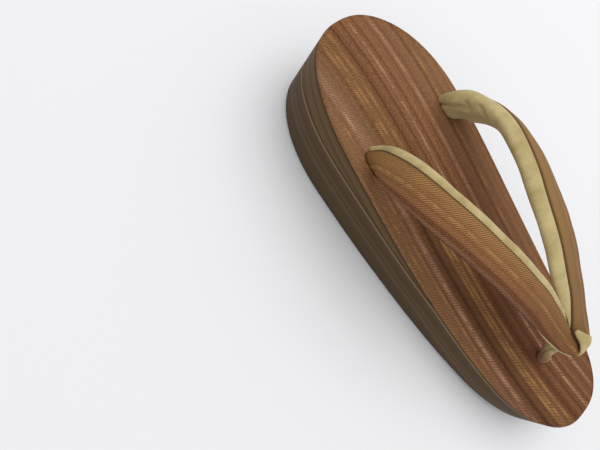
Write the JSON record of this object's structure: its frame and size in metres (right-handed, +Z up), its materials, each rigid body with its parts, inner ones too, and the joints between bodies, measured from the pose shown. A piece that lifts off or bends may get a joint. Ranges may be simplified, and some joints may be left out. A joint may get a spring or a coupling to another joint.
{
  "type": "zori sandal",
  "caption": "Fabric-covered wedge sandal with a padded V strap, a toe post and an open heel.",
  "frame": {"origin": "on the floor, under the middle of the sandal's box", "axes": "+Y to the toe, +X to the wearer's right, +Z up"},
  "size_m": [0.0784, 0.24, 0.0747],
  "materials": {
    "outsole_rubber": "matt dark brown rubber",
    "side_fabric": "olive brown woven fabric with lengthwise threads",
    "top_fabric": "reddish brown striped silk weave",
    "strap_fabric": "reddish brown ribbed silk weave",
    "lining_fabric": "cream napped crepe"
  },
  "bodies": {
    "root": {"outsole": "outsole_rubber", "sole_core": "side_fabric", "heel_wedge": "side_fabric", "top_board": "top_fabric", "strap_cover": "strap_fabric", "strap_lining": "lining_fabric", "front_thong": "lining_fabric"}
  },
  "joints": []
}
